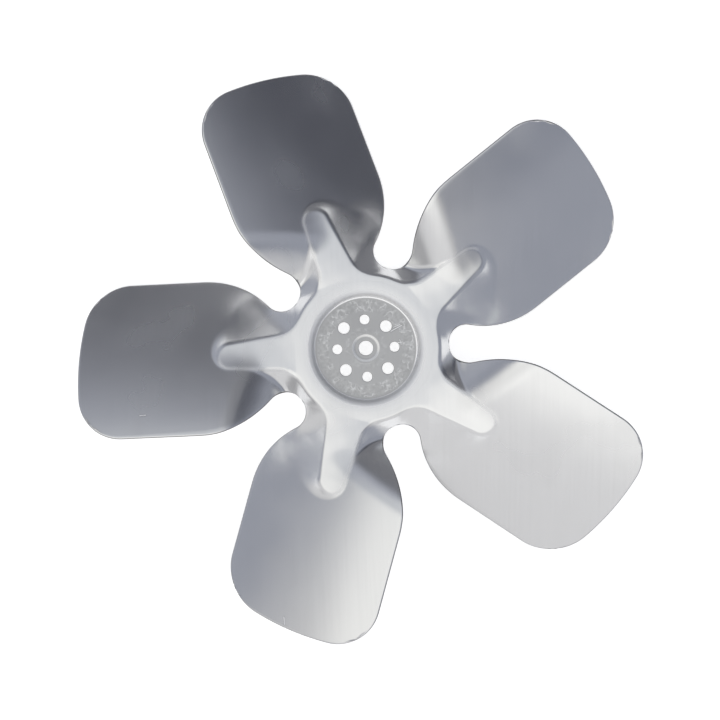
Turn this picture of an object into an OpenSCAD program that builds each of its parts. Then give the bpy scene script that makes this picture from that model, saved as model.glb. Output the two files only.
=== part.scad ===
// Five-blade axial fan, pressed from one sheet of aluminium.
// A recessed mounting disc sits inside a rolled crown ring. Tapered ribs grow out of the
// crown and run along the roots of the blades, which are pitched and slightly cambered.
// The low half of a blade runs straight into the crown's side. The high half comes down to it
// by a steep bank that faces the hub.
// The origin is the centre of the bore on the lower face of the mounting disc, and +Z is
// the axis of rotation. The first blade points along +X.

/* [Blades] */
// Diameter over the blade tips
fan_d = 254; // [220:1:300]
// Number of blades
blade_count = 5; // [4:1:6]
// Width of a blade, seen along the axis
blade_w = 68; // [60:1:74]
// Angle between the blade's chord and the plane of rotation
blade_pitch = 28.6; // [12:0.2:36]
// Rise of the blade's arc over its chord
blade_camber = 3; // [0:0.25:5]
// Height of the blade's middle line over the mounting disc
blade_rise = 5; // [3:0.25:6]
// Radius of the rounded tip corners
tip_corner_r = 20; // [8:1:28]
// Radius of the shoulder between a blade's root and its straight side
shoulder_r = 41; // [34:1:46]

/* [Banks] */
// Slope of the bank between the hub and the high half of a blade
bank_slope = 43.5; // [38:0.5:48]
// Turn of the bank's climb away from the blade's axis, towards its high side
bank_turn = 9; // [0:0.5:14]
// Distance from the axis at which the bank passes the height of the mounting disc
bank_foot_r = 38.8; // [38:0.2:42]
// Size of the rounded bend between the bank and the blade
bank_bend = 7.5; // [5:0.5:9]

/* [Notches] */
// Distance from the axis to the bottom of the notch between two blades
notch_reach = 36.7; // [35.5:0.1:39]
// Radius of the round notch bottom
notch_r = 8.3; // [7:0.1:9]

/* [Sheet] */
// Thickness of the sheet
sheet_t = 1.2; // [0.8:0.1:1.6]

/* [Hub] */
// Diameter of the flat mounting disc, up to its wall
disc_d = 45; // [42:0.5:46]
// Height of the crown over the mounting disc
crown_h = 6.5; // [5:0.25:9]
// Outer diameter of the crown's level top
crown_d = 62.4; // [60:0.2:64]
// Lean of the recess wall away from the axis, in degrees
wall_draft = 12; // [6:1:20]
// Radius of the bend at the foot of the recess wall
foot_bend_r = 0.8; // [0.4:0.1:1.2]
// Radius of the bend at the top of the recess wall
rim_bend_r = 2; // [1.7:0.1:2.2]
// Diameter of the coined recess round the bore
coin_d = 11.6; // [10:0.2:13]
// Depth of the coined recess, which thins the sheet from above
coin_depth = 0.3; // [0.1:0.05:0.4]

/* [Ribs] */
// Distance from the axis to the round end of a rib
rib_reach = 64.2; // [60:0.2:70]
// Width of a rib's top where it leaves the crown
rib_root_w = 15; // [12:0.2:17]
// Width of a rib's top at its end
rib_end_w = 9.2; // [6:0.2:11]
// Climb of a rib's top from the crown to its end
rib_climb = 0.5; // [0:0.1:1.6]
// Sideways tilt of a rib's top at its end, down towards the low side of the blade
rib_tilt = 11.3; // [4:0.1:16]
// Sideways shift of a rib's end towards the high side of the blade
rib_lean = 0.8; // [0:0.1:1.6]
// Slope of a rib's side on the low side of the blade
low_side_slope = 38; // [36:1:50]
// Slope of the crown's side and of a rib's other side
high_side_slope = 46; // [42:1:54]
// Radius of the rounded upper edge of the pressed sides
side_edge_r = 1.9; // [1.7:0.1:2.6]
// Size of the fillet where the pressed sides run into the blade
side_foot = 2.6; // [1:0.2:3]
// Size of the fillet in plan between the crown and a rib
rib_fillet = 7; // [3:0.5:8]

/* [Holes] */
// Diameter of the centre bore
bore_d = 6.4; // [5:0.1:8]
// Diameter of the small screw holes, which start in line with the first blade
small_hole_d = 4.4; // [3:0.1:5]
// Diameter of the circle through the small screw holes
small_pcd = 25.4; // [23:0.1:28]
// Diameter of the large screw holes, half-way between the small ones
large_hole_d = 5.2; // [4:0.1:6]
// Diameter of the circle through the large screw holes
large_pcd = 26.4; // [24:0.1:29]
// Number of holes in each of the two circles
holes_each = 4; // [3:1:4]

/* [Hidden] */

// Half of the angle that one blade and its share of the hub take up
half_sector = 180 / blade_count;
fan_r = fan_d / 2;
half_w = blade_w / 2;
crown_r = crown_d / 2;

// The hub's turned middle and the pressed outer part share a level strip of the crown
strip_inset = 0.7;
strip_w = 1.3;
join_out_r = crown_r - strip_inset;
join_in_r = join_out_r - strip_w;

// Quadratic blade section: slope at mid-chord, and its change across the chord
chord_slope = tan(blade_pitch);
camber_k = blade_camber / (half_w * half_w);

// Plan outline of a blade, made of arcs that run into each other
notch_centre = (notch_reach + notch_r) * [cos(half_sector), -sin(half_sector)];
shoulder_y = shoulder_r - half_w;
shoulder_x = notch_centre[0]
    + sqrt(pow(shoulder_r + notch_r, 2) - pow(shoulder_y - notch_centre[1], 2));
shoulder_centre = [shoulder_x, shoulder_y];
notch_to_shoulder = notch_centre - shoulder_centre;
notch_end_x = shoulder_x + notch_to_shoulder[0] * shoulder_r / (shoulder_r + notch_r);
corner_y = half_w - tip_corner_r;
corner_x = sqrt(pow(fan_r - tip_corner_r, 2) - pow(corner_y, 2));
corner_end_y = corner_y * fan_r / (fan_r - tip_corner_r);
corner_mid = [corner_x, -corner_y] + tip_corner_r * [cos(45), -sin(45)];
notch_start = notch_reach * [cos(half_sector), -sin(half_sector)];

// Half width of a blade in plan, at a distance x along its axis
function half_width(x) =
    x < notch_end_x ? -notch_centre[1] - sqrt(max(0, pow(notch_r, 2) - pow(x - notch_centre[0], 2)))
    : x < shoulder_x ? -shoulder_y + sqrt(pow(shoulder_r, 2) - pow(x - shoulder_x, 2))
    : x < corner_x ? half_w
    : corner_y + sqrt(max(0, pow(tip_corner_r, 2) - pow(x - corner_x, 2)));

// Distance along the axis at which the tip's outline passes a sideways distance y
function tip_x(y) =
    abs(y) < corner_end_y ? sqrt(pow(fan_r, 2) - y * y)
    : corner_x + sqrt(max(0, pow(tip_corner_r, 2) - pow(abs(y) - corner_y, 2)));

// Blends that are exact outside a band of width k
function soft_max(a, b, k) = max(a, b) + pow(max(k - abs(a - b), 0), 2) / (4 * k);
function soft_min(a, b, k) = -soft_max(-a, -b, k);
function ease(u) = let (v = min(max(u, 0), 1)) v * v * (3 - 2 * v);
function mix(a, b, u) = a + (b - a) * u;

// A rib's top: its share of length passed, its half width, and its height, which tilts more
// and more towards the rib's end
rib_end_x = rib_reach - rib_end_w / 2;
function rib_share(x) = min(max((x - crown_r) / (rib_end_x - crown_r), 0), 1);
function rib_half(x) = mix(rib_root_w, rib_end_w, rib_share(x)) / 2;
function rib_side(p) = p[1] - rib_lean * rib_share(p[0]);
function rib_z(p) = crown_h + rib_share(p[0]) * (rib_climb + tan(rib_tilt) * p[1]);

// Distance outside the top of the crown and rib, blended in plan where the two meet
function beyond_rib(p) =
    let (x = min(max(p[0], 0), rib_end_x))
    norm([p[0] - x, rib_side(p)]) - rib_half(p[0]);
function beyond_top(p) = soft_min(norm(p) - crown_r, beyond_rib(p), rib_fillet);

// The sides are gentler along a rib's low side. The change is spread over a width across the
// rib and beyond its end, and over an angle next to the notch, so that neighbouring blades
// agree there.
change_w = 6;
change_angle = 12;
function low_share(p) =
    ease(0.5 - rib_side(p) / change_w)
    * ease((atan2(p[1], p[0]) + half_sector) / change_angle)
    * (1 - ease((p[0] - rib_end_x) / change_w));
function side_tan(p) = mix(tan(high_side_slope), tan(low_side_slope), low_share(p));

// Fall of a side of the slope t at the distance e: the rounded edge, then the straight slope
function side_fall(e, t) =
    e <= 0 ? 0
    : e < side_edge_r * t ? e * e / (2 * side_edge_r)
    : (e - side_edge_r * t / 2) * t;

// Height of the sheet's upper face over the plan point p, in the frame of one blade
function blade_z(p) =
    blade_rise + chord_slope * p[1] + blade_camber / 2 - camber_k * pow(p[1], 2);
bank_way = [cos(bank_turn), sin(bank_turn)];
function bank_z(p) = tan(bank_slope) * (p * bank_way - bank_foot_r);
function top_z(p) =
    soft_max(soft_min(blade_z(p), bank_z(p), bank_bend),
        rib_z(p) - side_fall(beyond_top(p), side_tan(p)), side_foot);

// Unit normal of the upper face, from differences over a short step
step = 0.01;
function slope_of(p, d) = (top_z(p + d) - top_z(p - d)) / (2 * step);
function face_normal(p) =
    let (n = [-slope_of(p, [step, 0]), -slope_of(p, [0, step]), 1])
    n / norm(n);

// Sideways places of the mesh columns at a row: rib's top, pressed side, then open blade.
// Past the rib's end they spread until they are even at the tip.
top_cols = 2;
side_cols = 4;
open_cols = 3;
side_run = 6;
half_cols = top_cols + side_cols + open_cols;
cols = 2 * half_cols;
function spread_share(x) = min(max((x - rib_reach) / (corner_x - rib_reach), 0), 1);
function col_y(i, x, row_half) =
    let (top = mix(rib_half(x), row_half * top_cols / half_cols, spread_share(x)))
    let (run = mix(side_run, row_half * side_cols / half_cols, spread_share(x)))
    i <= top_cols ? top * i / top_cols
    : i <= top_cols + side_cols ? top + run * (i - top_cols) / side_cols
    : mix(top + run, row_half, (i - top_cols - side_cols) / open_cols);
function signed_col(i, x, row_half) =
    i < half_cols ? -col_y(half_cols - i, x, row_half) : col_y(i - half_cols, x, row_half);

// Rows near the hub are arcs round the axis. The first two bound the level strip.
hub_rows = 7;
level_inset = 0.2;
hub_row_r = concat(
    [join_in_r],
    [for (j = [0:hub_rows - 1]) mix(crown_r - level_inset, notch_reach, j / (hub_rows - 1))]);
root_half = -notch_start[1];
root_angles = [for (i = [0:cols]) asin(signed_col(i, notch_reach, root_half) / notch_reach)];
hub_points = [for (r = hub_row_r) for (a = root_angles) r * [cos(a), sin(a)]];

// Rows along the blade run from edge to edge, and bow from the root's arc to the tip's outline
function spread(a, b, n) = [for (j = [1:n]) mix(a, b, j / n)];
rib_end_rows = 14;
blade_row_x = concat(
    spread(notch_start[0], notch_end_x, 5),
    spread(notch_end_x, rib_reach - rib_end_rows, 4),
    spread(rib_reach - rib_end_rows, rib_reach, 7),
    spread(rib_reach, corner_x, 3),
    spread(corner_x, corner_mid[0], 4));
function bow(v, s) =
    mix(sqrt(pow(notch_reach, 2) - pow(s * root_half, 2)) - notch_start[0],
        tip_x(s * corner_mid[1]) - corner_mid[0], v);
blade_points = [
    for (x = blade_row_x)
        let (v = (x - notch_start[0]) / (corner_mid[0] - notch_start[0]), h = half_width(x))
        for (i = [0:cols])
            let (y = signed_col(i, x, h))
            [x + bow(v, y / h), y]];

// All points of one sector, upper face first, then the lower face one sheet thickness below
plan_points = concat(hub_points, blade_points);
upper_points = [for (p = plan_points) [p[0], p[1], top_z(p)]];
lower_points = [for (k = [0:len(plan_points) - 1]) upper_points[k] - sheet_t * face_normal(plan_points[k])];
function turned(p, a) = [p[0] * cos(a) - p[1] * sin(a), p[0] * sin(a) + p[1] * cos(a), p[2]];
sheet_points = [
    for (s = [0:blade_count - 1])
        for (p = concat(upper_points, lower_points))
            turned(p, 2 * half_sector * s)];

// Index of a point: sector, side (0 upper, 1 lower), row and column.
// The last column of a hub row is the first column of the next sector.
rows = hub_rows + len(blade_row_x);
side_size = len(plan_points);
function at(s, side, j, i) =
    let (shared = j <= hub_rows && i == cols)
    let (sector = (s + (shared ? 1 : 0)) % blade_count)
    (2 * sector + side) * side_size + j * (cols + 1) + (shared ? 0 : i);
function two_faces(a, b, c, d) = [[a, b, c], [a, c, d]];
function wall(s, ends) = two_faces(
    at(s, 0, ends[0][0], ends[0][1]), at(s, 0, ends[1][0], ends[1][1]),
    at(s, 1, ends[1][0], ends[1][1]), at(s, 1, ends[0][0], ends[0][1]));

// Edge of one sector's outline, walked from one notch bottom to the next
outline = concat(
    [for (j = [hub_rows:rows]) [j, 0]],
    [for (i = [1:cols]) [rows, i]],
    [for (j = [rows - 1:-1:hub_rows]) [j, cols]]);
sheet_faces = [
    for (s = [0:blade_count - 1])
        for (f = concat(
            [for (j = [0:rows - 1]) for (i = [0:cols - 1])
                each two_faces(
                    at(s, 0, j, i), at(s, 0, j, i + 1), at(s, 0, j + 1, i + 1), at(s, 0, j + 1, i))],
            [for (j = [0:rows - 1]) for (i = [0:cols - 1])
                each two_faces(
                    at(s, 1, j, i), at(s, 1, j + 1, i), at(s, 1, j + 1, i + 1), at(s, 1, j, i + 1))],
            [for (i = [0:cols - 1]) each wall(s, [[0, i + 1], [0, i]])],
            [for (k = [0:len(outline) - 2]) each wall(s, [outline[k], outline[k + 1]])]))
            f];

// Half section of the turned middle: points of the upper face, each with its normal's angle.
// Heights are counted from the disc's upper face, as they are for the blades.
disc_r = disc_d / 2;
coin_r = coin_d / 2;
coin_run = 2 * coin_depth;
wall_angle = 90 - wall_draft;
foot_centre = [disc_r - foot_bend_r * tan(wall_angle / 2), foot_bend_r];
bend_steps = 6;
function bend(c, r, a0, a1, inward) = [
    for (k = [0:bend_steps])
        let (a = mix(a0, a1, k / bend_steps))
        [c + r * [cos(a), sin(a)], inward ? a + 180 : a]];
wall_height = crown_h - foot_bend_r * (1 - cos(wall_angle)) - rim_bend_r * (1 - cos(wall_angle));
wall_foot = foot_centre + foot_bend_r * [sin(wall_angle), -cos(wall_angle)];
wall_top = wall_foot + [wall_height / tan(wall_angle), wall_height];
rim_centre = wall_top + rim_bend_r * [sin(wall_angle), -cos(wall_angle)];
section = concat(
    [[[0, 0], 90]],
    bend(foot_centre, foot_bend_r, -90, wall_angle - 90, true),
    bend(rim_centre, rim_bend_r, wall_angle + 90, 90, false),
    [[[join_out_r, crown_h], 90]]);

module turned_middle() {
    rotate_extrude($fn = 96)
        polygon(concat(
            [for (q = section) q[0]],
            [for (k = [len(section) - 1:-1:0])
                section[k][0] - sheet_t * [cos(section[k][1]), sin(section[k][1])]]));
}

module pitched_blades() {
    polyhedron(points = sheet_points, faces = sheet_faces, convexity = 10);
}

// Round holes go right through the disc
module hole(d) {
    translate([0, 0, -2 * sheet_t])
        cylinder(d = d, h = 3 * sheet_t, $fn = 64);
}

module hole_circle(pcd, d, start) {
    for (k = [0:holes_each - 1])
        rotate(start + 360 * k / holes_each)
            translate([pcd / 2, 0, 0])
                hole(d);
}

// Coined recess: a flat floor and a sloping rim, cut from the disc's upper face
module coin() {
    rotate_extrude($fn = 96)
        polygon([[0, -coin_depth], [coin_r - coin_run, -coin_depth], [coin_r, 0], [coin_r, sheet_t],
            [0, sheet_t]]);
}

module fan_blade() {
    color("silver")
        translate([0, 0, sheet_t])
            difference() {
                union() {
                    turned_middle();
                    pitched_blades();
                }
                coin();
                hole(bore_d);
                hole_circle(small_pcd, small_hole_d, 0);
                hole_circle(large_pcd, large_hole_d, 180 / holes_each);
            }
}

fan_blade();
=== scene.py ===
import math

import bmesh
import bpy
import numpy as np
from mathutils import Matrix, Vector


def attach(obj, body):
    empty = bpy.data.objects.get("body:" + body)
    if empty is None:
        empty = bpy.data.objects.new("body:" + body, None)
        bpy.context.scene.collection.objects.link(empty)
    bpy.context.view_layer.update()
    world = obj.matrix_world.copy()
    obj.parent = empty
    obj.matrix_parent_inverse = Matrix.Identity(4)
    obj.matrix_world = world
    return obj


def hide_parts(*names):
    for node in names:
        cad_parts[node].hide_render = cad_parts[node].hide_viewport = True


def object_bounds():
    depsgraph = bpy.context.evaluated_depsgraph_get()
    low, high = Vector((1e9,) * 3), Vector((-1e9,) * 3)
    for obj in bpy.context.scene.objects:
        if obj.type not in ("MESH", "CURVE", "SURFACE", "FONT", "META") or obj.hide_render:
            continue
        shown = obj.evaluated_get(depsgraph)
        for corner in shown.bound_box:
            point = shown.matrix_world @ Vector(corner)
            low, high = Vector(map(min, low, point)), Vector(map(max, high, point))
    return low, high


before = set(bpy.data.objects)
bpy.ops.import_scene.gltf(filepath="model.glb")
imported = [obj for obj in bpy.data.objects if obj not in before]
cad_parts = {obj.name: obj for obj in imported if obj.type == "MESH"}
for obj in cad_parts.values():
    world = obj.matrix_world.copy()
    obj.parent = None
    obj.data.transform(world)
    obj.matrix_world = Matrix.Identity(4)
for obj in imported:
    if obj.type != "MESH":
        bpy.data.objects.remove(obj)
cad_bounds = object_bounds()

# Driving dimensions of the fan, in millimetres and degrees

FAN_R = 127.0
BLADE_COUNT = 5
BLADE_HALF_W = 34.0
BLADE_PITCH = 28.6
BLADE_CAMBER = 3.0
BLADE_RISE = 5.0
TIP_CORNER_R = 20.0
SHOULDER_R = 41.0
BANK_SLOPE = 43.5
BANK_TURN = 9.0
BANK_FOOT_R = 38.8
BANK_BEND = 7.5
NOTCH_REACH = 36.7
NOTCH_R = 8.3
SHEET_T = 1.2
DISC_R = 23.0
CROWN_H = 6.5
CROWN_R = 31.2
WALL_DRAFT = 8.0
FOOT_BEND_R = 0.5
RIM_BEND_R = 2.0
COIN_R = 5.8
COIN_DEPTH = 0.3
RIB_REACH = 64.2
RIB_ROOT_HALF = 7.5
RIB_END_HALF = 4.6
RIB_CLIMB = 0.9
RIB_TILT = 11.3
RIB_LEAN = 0.8
LOW_SIDE_SLOPE = 36.0
HIGH_SIDE_SLOPE = 46.0
SIDE_EDGE_R = 1.9
SIDE_FOOT = 2.6
RIB_FILLET = 7.0
CHANGE_W = 6.0
CHANGE_ANGLE = 12.0
BORE_R = 3.2
SMALL_HOLE_R = 2.2
SMALL_HOLE_AT = 12.7
LARGE_HOLE_R = 2.6
LARGE_HOLE_AT = 13.2
HOLE_COUNT = 8

# The press rolls the upper edge of every cut over, and leaves the lower edge nearly sharp
ROLL_R = 0.55
BURR_R = 0.12
HOLE_ROLL_R = 0.2

# Angles round the section of a cut edge, in degrees from the upper face's normal: the roll, then the burr
ROLL_ANGLES = np.linspace(0, 90, 7)
BURR_ANGLES = np.linspace(90, 180, 5)

# Height of the waves in the roots
ROOT_WAVES = 0.012

# Rows and columns of the mesh
TOP_COLS, SIDE_COLS, OPEN_COLS = 7, 11, 10
HUB_ROWS = 20
JOIN_R = CROWN_R - 2.0
DISC_FLAT_R = 20.2

MM = 0.001
HALF_SECTOR = math.radians(180 / BLADE_COUNT)


def soft_max(a, b, k):
    """The larger of a and b, with a parabolic blend where they are within k of each other."""
    return np.maximum(a, b) + np.maximum(k - np.abs(a - b), 0) ** 2 / (4 * k)


def soft_min(a, b, k):
    """The smaller of a and b, blended in the same way."""
    return -soft_max(-a, -b, k)


def mix(a, b, u):
    """The value a share u of the way from a to b."""
    return a + (b - a) * u


def ease(u):
    """A smooth step from 0 to 1: three u squared less two u cubed, held outside 0 to 1."""
    v = np.clip(u, 0, 1)
    return v * v * (3 - 2 * v)


# Plan outline of a blade: arcs that run into each other, in the frame of one blade

notch_x = (NOTCH_REACH + NOTCH_R) * math.cos(HALF_SECTOR)
notch_y = (NOTCH_REACH + NOTCH_R) * math.sin(HALF_SECTOR)
shoulder_y = SHOULDER_R - BLADE_HALF_W
shoulder_x = notch_x + math.sqrt((SHOULDER_R + NOTCH_R) ** 2 - (shoulder_y + notch_y) ** 2)
notch_end_x = shoulder_x + (notch_x - shoulder_x) * SHOULDER_R / (SHOULDER_R + NOTCH_R)
corner_y = BLADE_HALF_W - TIP_CORNER_R
corner_x = math.sqrt((FAN_R - TIP_CORNER_R) ** 2 - corner_y ** 2)
corner_end_y = corner_y * FAN_R / (FAN_R - TIP_CORNER_R)
corner_mid_x = corner_x + TIP_CORNER_R * math.cos(math.radians(45))
corner_mid_y = corner_y + TIP_CORNER_R * math.sin(math.radians(45))
root_x = NOTCH_REACH * math.cos(HALF_SECTOR)
root_y = NOTCH_REACH * math.sin(HALF_SECTOR)
rib_end_x = RIB_REACH - RIB_END_HALF


def half_width(x):
    """Half width of a blade at a distance x along it: notch circle, shoulder arc, straight side, corner arc."""
    notch = notch_y - np.sqrt(np.maximum(0, NOTCH_R ** 2 - (x - notch_x) ** 2))
    shoulder = -shoulder_y + np.sqrt(np.maximum(0, SHOULDER_R ** 2 - (x - shoulder_x) ** 2))
    corner = corner_y + np.sqrt(np.maximum(0, TIP_CORNER_R ** 2 - (x - corner_x) ** 2))
    return np.select([x < notch_end_x, x < shoulder_x, x < corner_x], [notch, shoulder, BLADE_HALF_W], corner)


def tip_x(y):
    """Distance along the blade of the tip's outline, at a sideways distance y: the tip circle, then a corner arc."""
    corner = corner_x + np.sqrt(np.maximum(0, TIP_CORNER_R ** 2 - (np.abs(y) - corner_y) ** 2))
    return np.where(np.abs(y) < corner_end_y, np.sqrt(np.maximum(0, FAN_R ** 2 - y * y)), corner)


def rib_share(x):
    """Share of a rib's length passed at x, from 0 at the crown to 1 at its end."""
    return np.clip((x - CROWN_R) / (rib_end_x - CROWN_R), 0, 1)


def rib_half(x):
    """Half width of the rib's top, which tapers evenly."""
    return mix(RIB_ROOT_HALF, RIB_END_HALF, rib_share(x))


def tangent(degrees):
    """Tangent of an angle in degrees."""
    return math.tan(math.radians(degrees))


def side_fall(e, t):
    """Fall of a pressed side of slope t, at a distance e outside the top: a parabola, then a straight slope."""
    run = SIDE_EDGE_R * t
    return np.where(e <= 0, 0, np.where(e < run, e * e / (2 * SIDE_EDGE_R), (e - run / 2) * t))


def upper_height(x, y):
    """Height of the sheet's upper face in one blade's frame, over the disc's lower face.

    The blade is a parabolic arc across its chord, at the pitch angle. Its high half comes down to
    the hub by a bank, an evenly climbing plane, and the lower of blade and bank counts, with a
    wide blend. The crown and rib are a top whose sides fall away. The rib's top climbs, tilts and
    leans evenly along its length, and its low side is gentler. The higher of the two surfaces
    shows, with a soft blend between them.
    """
    blade = BLADE_RISE + tangent(BLADE_PITCH) * y
    blade = blade + BLADE_CAMBER / 2 - BLADE_CAMBER * (y / BLADE_HALF_W) ** 2
    way = math.radians(BANK_TURN)
    bank = tangent(BANK_SLOPE) * (x * math.cos(way) + y * math.sin(way) - BANK_FOOT_R)
    share = rib_share(x)
    side = y - RIB_LEAN * share
    beyond_rib = np.hypot(x - np.clip(x, 0, rib_end_x), side) - rib_half(x)
    beyond = soft_min(np.hypot(x, y) - CROWN_R, beyond_rib, RIB_FILLET)
    from_notch = np.degrees(np.arctan2(y, x)) + 180 / BLADE_COUNT
    low = ease(0.5 - side / CHANGE_W) * ease(from_notch / CHANGE_ANGLE) * (1 - ease((x - rib_end_x + 4) / 14))
    fall = side_fall(beyond, mix(tangent(HIGH_SIDE_SLOPE), tangent(LOW_SIDE_SLOPE), low))
    raised = CROWN_H + share * (RIB_CLIMB + tangent(RIB_TILT) * y) - fall
    return soft_max(soft_min(blade, bank, BANK_BEND), raised, SIDE_FOOT) + SHEET_T


def upper_normals(x, y):
    """Unit normals of the upper face, from differences of its height over a short step."""
    d = 0.01
    gx = (upper_height(x + d, y) - upper_height(x - d, y)) / (2 * d)
    gy = (upper_height(x, y + d) - upper_height(x, y - d)) / (2 * d)
    n = np.stack([-gx, -gy, np.ones_like(gx)], axis=-1)
    return n / np.linalg.norm(n, axis=-1, keepdims=True)


def unit(v):
    """Vectors scaled to length one."""
    return v / np.linalg.norm(v, axis=-1, keepdims=True)


def column_places(x, row_half):
    """Sideways places of the mesh columns for each row: over the rib's top, the pressed side, then the
    open blade. Past the rib's end they spread until they are even at the tip."""
    half_cols = TOP_COLS + SIDE_COLS + OPEN_COLS
    share = np.clip((x - RIB_REACH) / (corner_x - RIB_REACH), 0, 1)
    top_half = mix(rib_half(x), row_half * TOP_COLS / half_cols, share)[:, None]
    side_run = mix(7.0, row_half * SIDE_COLS / half_cols, share)[:, None]
    top = top_half * np.arange(TOP_COLS + 1) / TOP_COLS
    side = top_half + side_run * np.arange(1, SIDE_COLS + 1) / SIDE_COLS
    open_part = mix(top_half + side_run, row_half[:, None], np.arange(1, OPEN_COLS + 1) / OPEN_COLS)
    right = np.concatenate([top, side, open_part], axis=1)
    return np.concatenate([-right[:, :0:-1], right], axis=1)


def sector_plan():
    """Plan points of one sector, as rows of columns: arcs round the axis near the hub, then rows that bow
    from the root's arc to the tip's outline while their ends follow the blade's sides."""
    at_root = column_places(np.array([NOTCH_REACH]), np.array([root_y]))[0]
    angles = np.arcsin(at_root / NOTCH_REACH)
    radii = np.linspace(JOIN_R, NOTCH_REACH, HUB_ROWS + 1)
    hub_x = radii[:, None] * np.cos(angles)
    hub_y = radii[:, None] * np.sin(angles)
    stations = [root_x, notch_end_x, RIB_REACH - 10, RIB_REACH + 3, corner_x, corner_mid_x]
    counts = [14, 13, 22, 14, 12]
    x = np.concatenate([np.linspace(a, b, n + 1)[1:] for a, b, n in zip(stations, stations[1:], counts)])
    half = half_width(x)
    y = column_places(x, half)
    share = ((x - root_x) / (corner_mid_x - root_x))[:, None]
    s = y / half[:, None]
    root_bow = np.sqrt(NOTCH_REACH ** 2 - (s * root_y) ** 2) - root_x
    tip_bow = tip_x(s * corner_mid_y) - corner_mid_x
    blade_x = x[:, None] + mix(root_bow, tip_bow, share)
    return np.concatenate([hub_x, blade_x]), np.concatenate([hub_y, y]), angles


def edge_profile(roll, burr, thickness):
    """Section of a cut edge as steps (outward, upward) from the upper corner: a rolled upper
    edge, a straight cut face and a small lower radius."""
    a, b = np.radians(ROLL_ANGLES), np.radians(BURR_ANGLES)
    upper = np.stack([-roll + roll * np.sin(a), -roll + roll * np.cos(a)], axis=1)
    lower = np.stack([-burr + burr * np.sin(b), -thickness + burr + burr * np.cos(b)], axis=1)
    return np.concatenate([upper, lower])


def shaded_edge(outward_z, normal_z):
    """How much painted shade each point of a cut edge's section carries: 1 where its surface leans well away from
    straight up, shade painted onto a rough cut face, and 0 at the first and last points, which belong to the faces."""
    a = np.radians(np.concatenate([ROLL_ANGLES, BURR_ANGLES]))
    upward = np.multiply.outer(normal_z, np.cos(a)) + np.multiply.outer(outward_z, np.sin(a))
    dark = ease((0.85 - upward) / 0.15)
    dark[..., [0, -1]] = 0
    return dark


def uneven(x, y):
    """Small waves that pressing leaves in the roots, in height over the whole sheet: the sum of three sines of
    different lengths and directions. They fade out towards the disc and towards the middle of the blades."""
    r = np.hypot(x, y)
    share = ease((r - 29.5) / 5) * (1 - ease((r - 48) / 22))
    waves = np.sin(0.62 * x + 0.35 * y + 0.6) + np.sin(0.71 * y - 0.22 * x + 2.1) + np.sin(0.41 * (x - y) + 4.0)
    return ROOT_WAVES * share * waves


def rib_edge_highlight(x, y):
    """Where a painted highlight lies along the upper edge of each rib's high side: a bell curve across the edge,
    which fades out at the crown. The places are turned into their own blade's frame."""
    angle = np.arctan2(y, x)
    angle = angle - np.round(angle / (2 * HALF_SECTOR)) * 2 * HALF_SECTOR
    along, r = np.hypot(x, y) * np.cos(angle), np.hypot(x, y)
    side = r * np.sin(angle) - RIB_LEAN * rib_share(along)
    beyond = np.hypot(along - np.clip(along, 0, rib_end_x), side) - rib_half(along)
    bell = np.exp(-((beyond - 0.9) / 0.7) ** 2)
    return 0.7 * bell * ease(side / 4) * ease((r - CROWN_R - 2) / 6)


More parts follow.
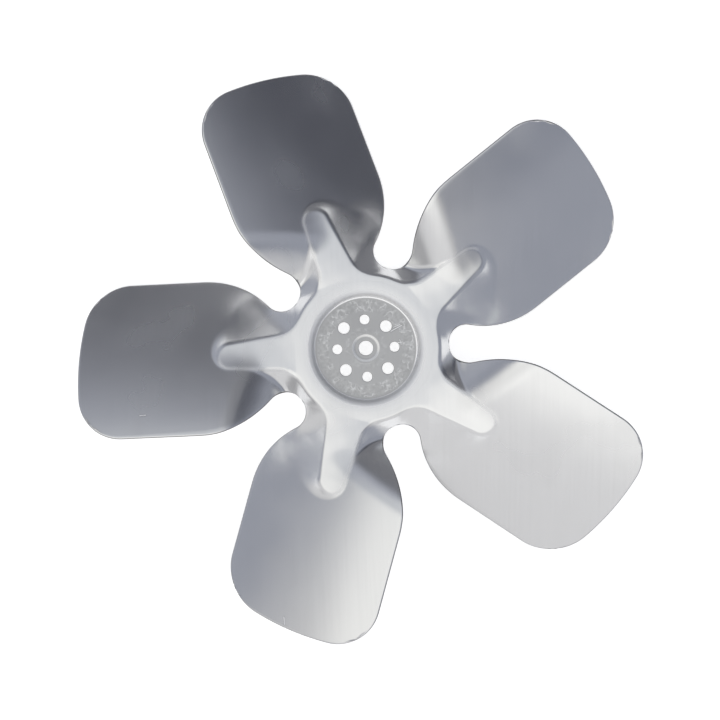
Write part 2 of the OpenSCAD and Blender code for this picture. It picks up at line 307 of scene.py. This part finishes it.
class Sheet:
    """Collects points and faces of the one pressed sheet."""

    def __init__(self):
        self.points = []
        self.faces = []
        self.dark = []
        self.count = 0

    def add(self, points, faces, dark=0.0):
        """Adds points, how much painted shade of a cut edge each of them carries, and the faces that join them, as rows
        of point numbers.
        """
        self.points.append(points.reshape(-1, 3))
        self.dark.append(np.broadcast_to(dark, points.shape[:-1]).ravel())
        self.faces.extend((faces + self.count).tolist())
        self.count += points.size // 3

    def grid(self, points, flip=False, closed=False, dark=0.0):
        """Adds a grid of points, rows by columns, as quads. A closed grid joins its last row to its first."""
        rows, cols = points.shape[:2]
        number = np.arange(rows * cols).reshape(rows, cols)
        if closed:
            number = np.concatenate([number, number[:1]])
        a, b = number[:-1, :-1], number[:-1, 1:]
        c, d = number[1:, 1:], number[1:, :-1]
        quads = np.stack([a, b, c, d], axis=-1).reshape(-1, 4)
        self.add(points, quads[:, ::-1] if flip else quads, dark)

    def bridge(self, inner, outer, flip=False):
        """Joins two rings with different numbers of points by triangles, walked in order of angle."""
        rings = [ring[np.argsort(np.arctan2(ring[:, 1], ring[:, 0]))] for ring in (inner, outer)]
        angles = [np.arctan2(ring[:, 1], ring[:, 0]) for ring in rings]
        which = np.concatenate([np.zeros(len(angles[0]), int), np.ones(len(angles[1]), int)])
        order = np.argsort(np.concatenate(angles), kind="stable")
        which = which[order]
        seen = [np.cumsum(which == k) - 1 for k in (0, 1)]
        size = [len(ring) for ring in rings]
        start = [0, size[0]]
        other = 1 - which
        before = np.where(which == 0, seen[0] - 1, seen[1] - 1) % np.where(which == 0, size[0], size[1])
        here = np.where(which == 0, seen[0], seen[1])
        across = np.where(other == 0, seen[0], seen[1]) % np.where(other == 0, size[0], size[1])
        first = np.where(which == 0, start[0], start[1])
        far = np.where(other == 0, start[0], start[1])
        tri = np.stack([first + before, first + here, far + across], axis=1)
        tri = np.where((which == 0)[:, None], tri[:, ::-1], tri)
        self.add(np.concatenate(rings), tri[:, ::-1] if flip else tri)

    def piece(self, name):
        """The finished mesh object, with its doubles merged and its faces turned outwards."""
        mesh = bpy.data.meshes.new(name)
        points = np.concatenate(self.points)
        points[:, 2] += uneven(points[:, 0], points[:, 1])
        mesh.from_pydata((points * MM).tolist(), [], self.faces)
        # A white painted highlight along the upper edge of each rib's high side, kept per point
        line = rib_edge_highlight(points[:, 0], points[:, 1])
        mesh.attributes.new("painted_rib_highlight", "FLOAT", "POINT").data.foreach_set("value", line)
        mesh.attributes.new("cut_edge_shade", "FLOAT", "POINT").data.foreach_set("value", np.concatenate(self.dark))
        work = bmesh.new()
        work.from_mesh(mesh)
        bmesh.ops.remove_doubles(work, verts=work.verts, dist=1e-6)
        bmesh.ops.dissolve_degenerate(work, edges=work.edges, dist=1e-7)
        bmesh.ops.recalc_face_normals(work, faces=work.faces)
        work.to_mesh(mesh)
        work.free()
        mesh.polygons.foreach_set("use_smooth", np.ones(len(mesh.polygons), bool))
        obj = bpy.data.objects.new(name, mesh)
        bpy.context.scene.collection.objects.link(obj)
        return obj


def turned(points, angle):
    """Points turned about the axis."""
    c, s = math.cos(angle), math.sin(angle)
    x, y = points[..., 0], points[..., 1]
    return np.stack([x * c - y * s, x * s + y * c, points[..., 2]], axis=-1)


def add_blades(sheet):
    """Upper and lower faces of the pressed part, and the cut edge that runs round all the blades."""
    x, y, angles = sector_plan()
    upper = np.stack([x, y, upper_height(x, y)], axis=-1)
    normal = upper_normals(x, y)
    rows, cols = x.shape
    walk_j = np.concatenate([np.arange(HUB_ROWS, rows), np.full(cols - 2, rows - 1), np.arange(rows - 1, HUB_ROWS, -1)])
    walk_i = np.concatenate([np.zeros(rows - HUB_ROWS, int), np.arange(1, cols - 1), np.full(rows - 1 - HUB_ROWS, cols - 1)])
    edge = upper[walk_j, walk_i]
    edge_normal = normal[walk_j, walk_i]
    ahead = np.concatenate([edge[1:], turned(edge[:1], 2 * HALF_SECTOR)])
    behind = np.concatenate([turned(edge[-1:], -2 * HALF_SECTOR), edge[:-1]])
    outward = unit(np.cross(unit(ahead - behind), edge_normal))
    steps = edge_profile(ROLL_R, BURR_R, SHEET_T)
    rim = edge[:, None] + outward[:, None] * steps[None, :, :1] + edge_normal[:, None] * steps[None, :, 1:]
    lower = upper - SHEET_T * normal
    upper[walk_j, walk_i] = rim[:, 0]
    lower[walk_j, walk_i] = rim[:, -1]
    first_next = turned(rim[:1], 2 * HALF_SECTOR)
    upper[HUB_ROWS, cols - 1] = first_next[0, 0]
    lower[HUB_ROWS, cols - 1] = first_next[0, -1]
    rim = np.concatenate([rim, first_next])
    # Painted shade along the cut edge, by how far each point leans away from straight up
    dark = shaded_edge(outward[:, 2], edge_normal[:, 2])
    dark = np.concatenate([dark, dark[:1]])
    for k in range(BLADE_COUNT):
        a = 2 * HALF_SECTOR * k
        sheet.grid(turned(upper, a), flip=True)
        sheet.grid(turned(lower, a))
        sheet.grid(turned(rim, a), dark=dark)
    return np.concatenate([angles[:-1] + 2 * HALF_SECTOR * k for k in range(BLADE_COUNT)])


def bend(cx, cz, r, a0, a1, inward):
    """Points of a bend's upper face and the directions of its normals, both along an arc."""
    a = np.radians(np.linspace(a0, a1, 9))
    points = np.stack([cx + r * np.cos(a), cz + r * np.sin(a)], axis=1)
    normals = np.stack([np.cos(a), np.sin(a)], axis=1)
    return points, -normals if inward else normals


def add_crown(sheet, angles):
    """The turned wall between the flat disc and the crown's top, carried round the axis."""
    wall = 90 - WALL_DRAFT
    rad = math.radians(wall)
    foot_x = DISC_R - FOOT_BEND_R * math.tan(rad / 2)
    height = CROWN_H - (FOOT_BEND_R + RIM_BEND_R) * (1 - math.cos(rad))
    rim_x = foot_x + (FOOT_BEND_R + RIM_BEND_R) * math.sin(rad) + height / math.tan(rad)
    foot, foot_n = bend(foot_x, FOOT_BEND_R, FOOT_BEND_R, -90, wall - 90, True)
    rim, rim_n = bend(rim_x, CROWN_H - RIM_BEND_R, RIM_BEND_R, wall + 90, 90, False)
    up = np.array([[0.0, 1.0]])
    flat = np.array([[DISC_FLAT_R + 0.6, 0.0]])
    top = np.array([[JOIN_R, CROWN_H]])
    points = np.concatenate([flat, foot, rim, top]) + [0, SHEET_T]
    normals = np.concatenate([up, foot_n, rim_n, up])
    ring = np.sort(np.mod(angles, 2 * math.pi))
    for side, q in (("upper", points), ("lower", points - SHEET_T * normals)):
        grid = np.stack([
            q[:, 0] * np.cos(ring)[:, None], q[:, 0] * np.sin(ring)[:, None],
            np.broadcast_to(q[:, 1], (len(ring), len(q)))], axis=-1)
        sheet.grid(grid, flip=side == "upper", closed=True)
    edge = np.stack([np.cos(ring), np.sin(ring)], axis=1) * (DISC_FLAT_R + 0.6)
    return edge


def add_disc(sheet, crown_edge):
    """The flat disc with its holes. Each hole has a sector of the disc to itself, meshed by
    straight rays from the hole's centre to the sector's boundary. The coined recess and the
    bore's edge follow inside."""
    half = math.pi / HOLE_COUNT
    arc_steps, ray_steps, rings = 16, 20, 7
    across = np.linspace(-half, half, arc_steps + 1)
    along = np.linspace(COIN_R, DISC_FLAT_R, ray_steps + 1)
    border = np.concatenate([
        COIN_R * np.stack([np.cos(across), np.sin(across)], axis=1),
        along[1:, None] * [math.cos(half), math.sin(half)],
        DISC_FLAT_R * np.stack([np.cos(across[-2::-1]), np.sin(across[-2::-1])], axis=1),
        along[-2:0:-1, None] * [math.cos(half), -math.sin(half)]])
    for k in range(HOLE_COUNT):
        hole_r, hole_at = (SMALL_HOLE_R, SMALL_HOLE_AT) if k % 2 == 0 else (LARGE_HOLE_R, LARGE_HOLE_AT)
        centre = np.array([hole_at, 0.0])
        ray = border - centre
        reach = np.linalg.norm(ray, axis=1, keepdims=True)
        steps = edge_profile(HOLE_ROLL_R, BURR_R, SHEET_T)
        for z, rim in ((SHEET_T, HOLE_ROLL_R), (0.0, BURR_R)):
            share = np.linspace(0, 1, rings + 1)[None, :, None]
            start = (hole_r + rim) / reach[:, None]
            plan = centre + ray[:, None] * (start + (1 - start) * share)
            grid = np.concatenate([plan, np.full(plan.shape[:2] + (1,), z)], axis=-1)
            sheet.grid(turned(grid, 2 * half * k), flip=z == 0, closed=True)
        out = ray / reach
        wall = centre + out[:, None] * (hole_r - steps[None, :, :1])
        z = np.broadcast_to(SHEET_T + steps[:, 1], wall.shape[:2])[..., None]
        sheet.grid(turned(np.concatenate([wall, z], axis=-1), 2 * half * k), flip=True, closed=True,
                   dark=shaded_edge(0.0, 1.0))
    ring = (np.arange(HOLE_COUNT * arc_steps) - arc_steps / 2) * 2 * half / arc_steps
    run = 2 * COIN_DEPTH
    bore = edge_profile(HOLE_ROLL_R, BURR_R, SHEET_T - COIN_DEPTH)
    upper = np.concatenate([
        [[COIN_R, SHEET_T], [COIN_R - run, SHEET_T - COIN_DEPTH], [BORE_R + 1, SHEET_T - COIN_DEPTH]],
        np.stack([BORE_R - bore[:, 0], SHEET_T - COIN_DEPTH + bore[:, 1]], axis=1),
        [[BORE_R + 1, 0.0], [COIN_R, 0.0]]])
    grid = np.stack([
        upper[:, 0] * np.cos(ring)[:, None], upper[:, 0] * np.sin(ring)[:, None],
        np.broadcast_to(upper[:, 1], (len(ring), len(upper)))], axis=-1)
    sheet.grid(grid, closed=True, dark=np.concatenate([np.zeros(3), shaded_edge(0.0, 1.0), np.zeros(2)]))
    rim = DISC_FLAT_R * np.stack([np.cos(ring), np.sin(ring)], axis=1)
    for z, flip in ((SHEET_T, False), (0.0, True)):
        sheet.bridge(np.c_[rim, np.full(len(rim), z)], np.c_[crown_edge, np.full(len(crown_edge), z)], flip)


def fan_sheet():
    """The whole pressed sheet as one closed mesh."""
    sheet = Sheet()
    angles = add_blades(sheet)
    crown_edge = add_crown(sheet, angles)
    add_disc(sheet, crown_edge)
    return sheet.piece("fan_sheet")


class Graph:
    """Short ways to add nodes to one node tree and to join them."""

    def __init__(self, tree):
        self.tree = tree

    def node(self, kind, inputs=(), **settings):
        """Adds a node, sets its properties, and fills its inputs with values or links."""
        made = self.tree.nodes.new(kind)
        for name, value in settings.items():
            setattr(made, name, value)
        for key, value in dict(inputs).items():
            if isinstance(value, bpy.types.NodeSocket):
                self.tree.links.new(value, made.inputs[key])
            else:
                made.inputs[key].default_value = value
        return made

    def math(self, operation, *values):
        """The result of a Math node."""
        return self.node("ShaderNodeMath", enumerate(values), operation=operation).outputs[0]

    def vector(self, operation, *values):
        """The result of a Vector Math node: its number for a dot product, length or distance, or else its vector."""
        made = self.node("ShaderNodeVectorMath", enumerate(values), operation=operation)
        return made.outputs["Value" if operation in ("DOT_PRODUCT", "LENGTH", "DISTANCE") else "Vector"]

    def join(self, value, socket):
        """Links an output to an input."""
        self.tree.links.new(value, socket)

    def scaled(self, vector, share):
        """A vector or colour times a number."""
        return self.node("ShaderNodeVectorMath", {0: vector, "Scale": share}, operation="SCALE").outputs[0]

    def group(self, tree, inputs):
        """Places a node group with its inputs, and gives its outputs."""
        made = self.tree.nodes.new("ShaderNodeGroup")
        made.node_tree = tree
        for name, value in inputs.items():
            if isinstance(value, bpy.types.NodeSocket):
                self.tree.links.new(value, made.inputs[name])
            else:
                made.inputs[name].default_value = value
        return list(made.outputs)

    def ramp(self, value, low, high, to_low=0.0, to_high=1.0):
        """A value carried smoothly from the range low..high to the range to_low..to_high."""
        made = self.node("ShaderNodeMapRange", interpolation_type="SMOOTHSTEP")
        self.tree.links.new(value, made.inputs["Value"])
        for name, limit in (("From Min", low), ("From Max", high), ("To Min", to_low), ("To Max", to_high)):
            made.inputs[name].default_value = limit
        return made.outputs[0]

    def noise(self, position, scale, detail=3.0, roughness=0.5):
        """Cloudy noise of 0 to 1, with a scale in lumps per metre."""
        return self.node("ShaderNodeTexNoise", {
            "Vector": position, "Scale": scale, "Detail": detail, "Roughness": roughness}).outputs[0]


def new_group(name, inputs, outputs):
    """An empty node group with named sockets, and its graph, input node and output node."""
    tree = bpy.data.node_groups.new(name, "ShaderNodeTree")
    for way, sockets in (("INPUT", inputs), ("OUTPUT", outputs)):
        for socket, kind in sockets:
            tree.interface.new_socket(socket, in_out=way, socket_type="NodeSocket" + kind)
    return Graph(tree), tree.nodes.new("NodeGroupInput"), tree.nodes.new("NodeGroupOutput")


def scratch_group():
    """One straight scratch. The nearest place on the line from Start to End is found. Mask falls from 1 to
    0 as the distance to it grows from half the Width to the whole, and Lip is a narrow band outside it."""
    g, given, out = new_group(
        "scratch", [("Position", "Vector"), ("Start", "Vector"), ("End", "Vector"), ("Width", "Float")],
        [("Mask", "Float"), ("Lip", "Float")])
    along = g.vector("SUBTRACT", given.outputs["End"], given.outputs["Start"])
    here = g.vector("SUBTRACT", given.outputs["Position"], given.outputs["Start"])
    share = g.math("DIVIDE", g.vector("DOT_PRODUCT", here, along), g.vector("DOT_PRODUCT", along, along))
    share = g.node("ShaderNodeClamp", {"Value": share}).outputs[0]
    away = g.math("DIVIDE", g.vector("DISTANCE", here, g.scaled(along, share)), given.outputs["Width"])
    g.join(g.ramp(away, 0.5, 1.0, 1.0, 0.0), out.inputs["Mask"])
    g.join(g.math("MULTIPLY", g.ramp(away, 0.8, 1.1), g.ramp(away, 1.4, 2.0, 1.0, 0.0)), out.inputs["Lip"])
    return g.tree


def wear_group():
    """What rolling and handling leave on bare sheet, as values about 0.5. Grain is fine lines along Y, Cloud
    is a slow change of brightness, and Smudge marks the places where hands have dulled it."""
    g, given, out = new_group(
        "rolled_sheet", [("Position", "Vector")], [("Grain", "Float"), ("Cloud", "Float"), ("Smudge", "Float")])
    position = given.outputs["Position"]
    lines = g.vector("MULTIPLY", position, (1.0, 0.015, 0.0))
    g.join(g.noise(lines, 900.0, 4.0, 0.6), out.inputs["Grain"])
    g.join(g.noise(position, 16.0, 3.0, 0.55), out.inputs["Cloud"])
    g.join(g.ramp(g.noise(position, 34.0, 2.0, 0.5), 0.48, 0.75), out.inputs["Smudge"])
    return g.tree


def stamping_group():
    """Worn stamping. Line follows the places where a cloudy noise crosses its middle value, broken up by a
    second noise, and Pits is a fine noise."""
    g, given, out = new_group("stamping", [("Position", "Vector")], [("Line", "Float"), ("Pits", "Float")])
    position = given.outputs["Position"]
    crossing = g.math("ABSOLUTE", g.math("SUBTRACT", g.noise(position, 250.0, 2.0, 0.6), 0.5))
    broken = g.ramp(g.noise(position, 240.0, 2.0, 0.5), 0.42, 0.58)
    g.join(g.math("MULTIPLY", g.ramp(crossing, 0.01, 0.06, 1.0, 0.0), broken), out.inputs["Line"])
    g.join(g.noise(position, 620.0, 3.0, 0.6), out.inputs["Pits"])
    return g.tree


# The bend at the disc's edge carries a painted highlight on this side only
HIGHLIGHT_SIDE = (-0.54, -0.84, 0.0)

# Scratches by the disc's holes and on two blades, whitened as a painted glint: starts, ends and widths in millimetres
SCRATCHES = [
    ((-11.4, -6.9), (-16.2, -9.3), 0.32),
    ((-12.6, -8.6), (-15.6, -9.7), 0.26),
    ((-13.9, -1.7), (-16.1, -1.9), 0.28),
    ((-15.1, -3.0), (-15.7, -0.9), 0.26),
    ((98.6, 24.8), (96.0, 24.7), 0.28),
    ((41.4, 115.6), (41.2, 118.6), 0.26)]


def aluminium():
    """Bare rolled aluminium. It is bright and satin, with faint grain, cloudy patches and smudges. The disc is dull and
    stamped, with its coined ring polished by the die. The disc's edge bend has a painted highlight on one side, the
    recess wall painted light, each rib's high edge a painted highlight and the scratches a painted glint. Cut edges are
    darker, as rough cut faces with painted shade."""
    mat = bpy.data.materials.new("rolled_aluminium")
    mat.use_nodes = True
    g = Graph(mat.node_tree)
    bsdf = mat.node_tree.nodes["Principled BSDF"]
    position = g.node("ShaderNodeTexCoord").outputs["Object"]
    grain, cloud, smudge = g.group(wear_group(), {"Position": position})
    line, pits = g.group(stamping_group(), {"Position": position})
    # Painted shade on cut edges, kept per point
    cut = g.node("ShaderNodeAttribute", attribute_name="cut_edge_shade").outputs["Fac"]
    rib_highlight_share = g.node("ShaderNodeAttribute", attribute_name="painted_rib_highlight").outputs["Fac"]

    flat = g.vector("MULTIPLY", position, (1.0, 1.0, 0.0))
    radius = g.math("DIVIDE", g.vector("LENGTH", flat), MM)
    coin = g.math("MULTIPLY", g.ramp(radius, 4.9, 5.3), g.ramp(radius, 5.8, 6.4, 1.0, 0.0))
    foot = g.math("MULTIPLY", g.ramp(radius, 22.1, 22.5), g.ramp(radius, 23.0, 23.4, 1.0, 0.0))
    # Painted highlight on the foot bend at the disc's edge, strongest on one side
    pressed = g.vector("DOT_PRODUCT", g.vector("NORMALIZE", flat), HIGHLIGHT_SIDE)
    foot_highlight = g.math("MULTIPLY", foot, g.ramp(pressed, -0.1, 0.45))
    bright = g.math("MAXIMUM", coin, foot_highlight)
    dull = g.math("MULTIPLY", g.ramp(radius, 22.3, 22.8, 1.0, 0.0), g.math("SUBTRACT", 1.0, bright))
    # Painted light on the recess wall between the disc and the crown, lifting its shade: lighter and less metallic
    wall = g.math("MULTIPLY", g.ramp(radius, 22.2, 22.7), g.ramp(radius, 24.4, 26.4, 1.0, 0.0))
    wall = g.math("MULTIPLY", wall, g.math("SUBTRACT", 1.0, foot_highlight))
    band = g.math("MULTIPLY", g.ramp(radius, 15.8, 16.8), g.ramp(radius, 21.2, 22.0, 1.0, 0.0))
    inner = g.math("MULTIPLY", g.ramp(radius, 6.4, 7.0), g.ramp(radius, 8.8, 9.8, 0.5, 0.0))
    band = g.math("ADD", band, inner)

    scratch = scratch_group()
    scratch_and_glint, lip = 0.0, 0.0
    for start, end, width in SCRATCHES:
        first, last = (tuple(v * MM for v in place) + (0.0,) for place in (start, end))
        one = g.group(scratch, {"Position": flat, "Start": first, "End": last, "Width": width * MM})
        scratch_and_glint, lip = g.math("MAXIMUM", scratch_and_glint, one[0]), g.math("MAXIMUM", lip, one[1])

    shade = g.math("MULTIPLY", g.ramp(cloud, 0.3, 0.7, 0.98, 1.02), g.ramp(grain, 0.3, 0.7, 0.99, 1.01))
    shade = g.math("MULTIPLY", shade, g.ramp(smudge, 0.0, 1.0, 1.0, 0.97))
    shade = g.math("MULTIPLY", shade, g.ramp(dull, 0.0, 1.0, 1.0, 0.66))
    # Cut edges darker: a rough cut face, with painted shade where they lean away from straight up
    shade = g.math("MULTIPLY", shade, g.ramp(cut, 0.0, 1.0, 1.0, 0.22))
    shade = g.math("MULTIPLY", shade, g.ramp(lip, 0.0, 1.0, 1.0, 0.8))
    worn = g.math("MULTIPLY", band, g.math("MULTIPLY_ADD", line, 0.24, g.ramp(pits, 0.35, 0.65, -0.05, 0.05)))
    shade = g.math("ADD", shade, g.math("ADD", worn, g.math("MULTIPLY", coin, -0.12)))
    # Lighter: a painted highlight on one side of the disc's edge bend, and painted light on the recess wall
    shade = g.math("ADD", shade, g.math("MULTIPLY", g.math("MAXIMUM", foot_highlight, wall), 0.2))
    # Whitened: a painted glint on the scratches and a painted highlight along each rib's high edge
    shade = g.math("MAXIMUM", shade, g.math("MULTIPLY", g.math("MAXIMUM", scratch_and_glint, rib_highlight_share), 1.2))
    g.join(g.scaled((0.79, 0.79, 0.79), shade), bsdf.inputs["Base Color"])

    rough = g.math("ADD", 0.20, g.ramp(cloud, 0.3, 0.7, 0.0, 0.05))
    rough = g.math("MULTIPLY_ADD", smudge, 0.05, rough)
    rough = g.math("MULTIPLY_ADD", dull, 0.22, rough)
    # The recess wall is rougher as well as carrying painted light
    rough = g.math("MULTIPLY_ADD", wall, 0.25, rough)
    rough = g.math("MULTIPLY_ADD", cut, 0.25, rough)
    g.join(rough, bsdf.inputs["Roughness"])
    # Less metal under the wall's painted light, the rib highlight and the scratches' painted glint, so their white
    # shows
    scuffs_and_painted_light = g.math("MAXIMUM", wall, g.math("MAXIMUM", scratch_and_glint, rib_highlight_share))
    g.join(g.math("MULTIPLY_ADD", scuffs_and_painted_light, -0.75, 1.0), bsdf.inputs["Metallic"])

    stamped = g.math("MULTIPLY", band, g.math("MULTIPLY_ADD", line, 0.8, g.math("MULTIPLY", pits, 0.4)))
    relief = g.math("ADD", g.math("MULTIPLY", grain, 0.08), stamped)
    relief = g.math("SUBTRACT", relief, g.math("MULTIPLY", scratch_and_glint, 1.5))
    bump = g.node("ShaderNodeBump", {"Strength": 0.35, "Distance": 0.0001, "Height": relief})
    g.join(bump.outputs[0], bsdf.inputs["Normal"])
    return mat


# The fan and its finish

fan = fan_sheet()
fan.data.materials.append(aluminium())
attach(fan, "root")
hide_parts("fan_blade")

# Camera, from the photograph: the fan is seen from above, turned and slightly tilted

PHOTO_SIZE = 720
CAMERA_DISTANCE = 0.5144
CAMERA_TURN = 182.72
TILT_X, TILT_Y = -2.48, -2.36
FOCAL_PIXELS = 1160.4
HUB_PIXEL = (5.92, 11.96)
CENTRE_PIXEL = (-56.2, 49.8)
FLOOR_GLOW = 0.62


def add_camera():
    """The camera sees the hub's disc at its pixel, from its distance, with the photograph's turn and tilt."""
    data = bpy.data.cameras.new("camera")
    data.sensor_width = 36.0
    data.lens = FOCAL_PIXELS / PHOTO_SIZE * data.sensor_width
    data.shift_x = -CENTRE_PIXEL[0] / PHOTO_SIZE
    data.shift_y = -CENTRE_PIXEL[1] / PHOTO_SIZE
    cam = bpy.data.objects.new("camera", data)
    bpy.context.scene.collection.objects.link(cam)
    turn = (Matrix.Rotation(math.radians(TILT_Y), 4, "Y") @ Matrix.Rotation(math.radians(TILT_X), 4, "X")
            @ Matrix.Rotation(math.radians(CAMERA_TURN), 4, "Z"))
    side = [(HUB_PIXEL[k] - CENTRE_PIXEL[k]) * CAMERA_DISTANCE / FOCAL_PIXELS for k in (0, 1)]
    to_camera = Matrix.Translation((side[0], side[1], -CAMERA_DISTANCE)) @ turn
    to_camera = to_camera @ Matrix.Translation((0, 0, -SHEET_T * MM))
    cam.matrix_world = to_camera.inverted()
    bpy.context.scene.camera = cam


def add_floor(height):
    """A wide plain floor that the fan lies on. It shows white to the camera and in reflections, and keeps
    the fan's shadow."""
    mesh = bpy.data.meshes.new("floor")
    r = 40.0
    mesh.from_pydata([(-r, -r, height), (r, -r, height), (r, r, height), (-r, r, height)], [], [(0, 1, 2, 3)])
    floor = bpy.data.objects.new("floor", mesh)
    bpy.context.scene.collection.objects.link(floor)
    mat = bpy.data.materials.new("floor")
    mat.use_nodes = True
    bsdf = mat.node_tree.nodes["Principled BSDF"]
    bsdf.inputs["Base Color"].default_value = (0.8, 0.8, 0.8, 1)
    bsdf.inputs["Roughness"].default_value = 0.9
    g = Graph(mat.node_tree)
    path = g.node("ShaderNodeLightPath")
    seen = g.math("MAXIMUM", path.outputs["Is Camera Ray"], path.outputs["Is Glossy Ray"])
    seen = g.math("MAXIMUM", seen, path.outputs["Is Transmission Ray"])
    bsdf.inputs["Emission Color"].default_value = (1, 1, 1, 1)
    g.join(g.math("MULTIPLY", seen, FLOOR_GLOW), bsdf.inputs["Emission Strength"])
    floor.data.materials.append(mat)


def direction(zenith, azimuth):
    """Unit vector at an angle from straight up, and an angle about the axis from +X, in degrees."""
    z, a = math.radians(zenith), math.radians(azimuth)
    return math.sin(z) * math.cos(a), math.sin(z) * math.sin(a), math.cos(z)


# Tints of the studio's lights
PALE = (1.0, 1.0, 0.92)
WARM = (1.0, 0.94, 0.80)
GREY = (1.0, 1.0, 1.0)
COOL = (0.94, 1.0, 1.15)

DOME = (0.45, 0.47, 0.53)

# Lights that stand out from the even dome. Each is a round patch: the angle of its centre from straight up and
# its angle about the axis, the angles round its centre where it starts to fade and where it ends, how much
# light it adds or takes, and its tint
LIGHTS = {
    "overhead box": ((10, 15), (35, 43), 0.31, PALE),
    "side box": ((58, 62), (54, 61), 0.335, WARM),
    "small box, bottom blade": ((39, -8), (3, 16), 0.15, PALE),
    "small box, lower right blade": ((38, 59), (3, 14), 0.11, PALE),
    "wide dark screen": ((85, -116), (39, 60), -0.27, COOL),
    "low dark screen": ((90, 45), (14, 24), -0.34, GREY),
    "screen, low side of the top right blade": ((71, 172), (48, 54), -0.11, GREY),
    "screen, high side of the top right blade": ((36, 133), (3, 19), -0.19, GREY),
    "screen, low side of the bottom blade": ((77, -14), (66, 68), -0.055, GREY),
    "screen, middle of the bottom blade": ((49, -8), (14, 32), -0.095, GREY)}


def add_world():
    """The studio: a dome of even bluish light, with every patch of LIGHTS added to it. A patch's share goes
    smoothly from 1 to 0 between the cosines of its two angles."""
    world = bpy.data.worlds.new("studio")
    bpy.context.scene.world = world
    world.use_nodes = True
    g = Graph(world.node_tree)
    here = g.node("ShaderNodeTexCoord").outputs["Generated"]
    colour = DOME
    for (zenith, azimuth), (inner, outer), strength, tint in LIGHTS.values():
        near = g.vector("DOT_PRODUCT", here, direction(zenith, azimuth))
        share = g.ramp(near, math.cos(math.radians(outer)), math.cos(math.radians(inner)))
        colour = g.vector("MULTIPLY_ADD", share, tuple(strength * part for part in tint), colour)
    g.join(colour, world.node_tree.nodes["Background"].inputs["Color"])


add_camera()
add_floor(cad_bounds[0][2])
add_world()
bpy.context.scene.view_settings.view_transform = "Standard"
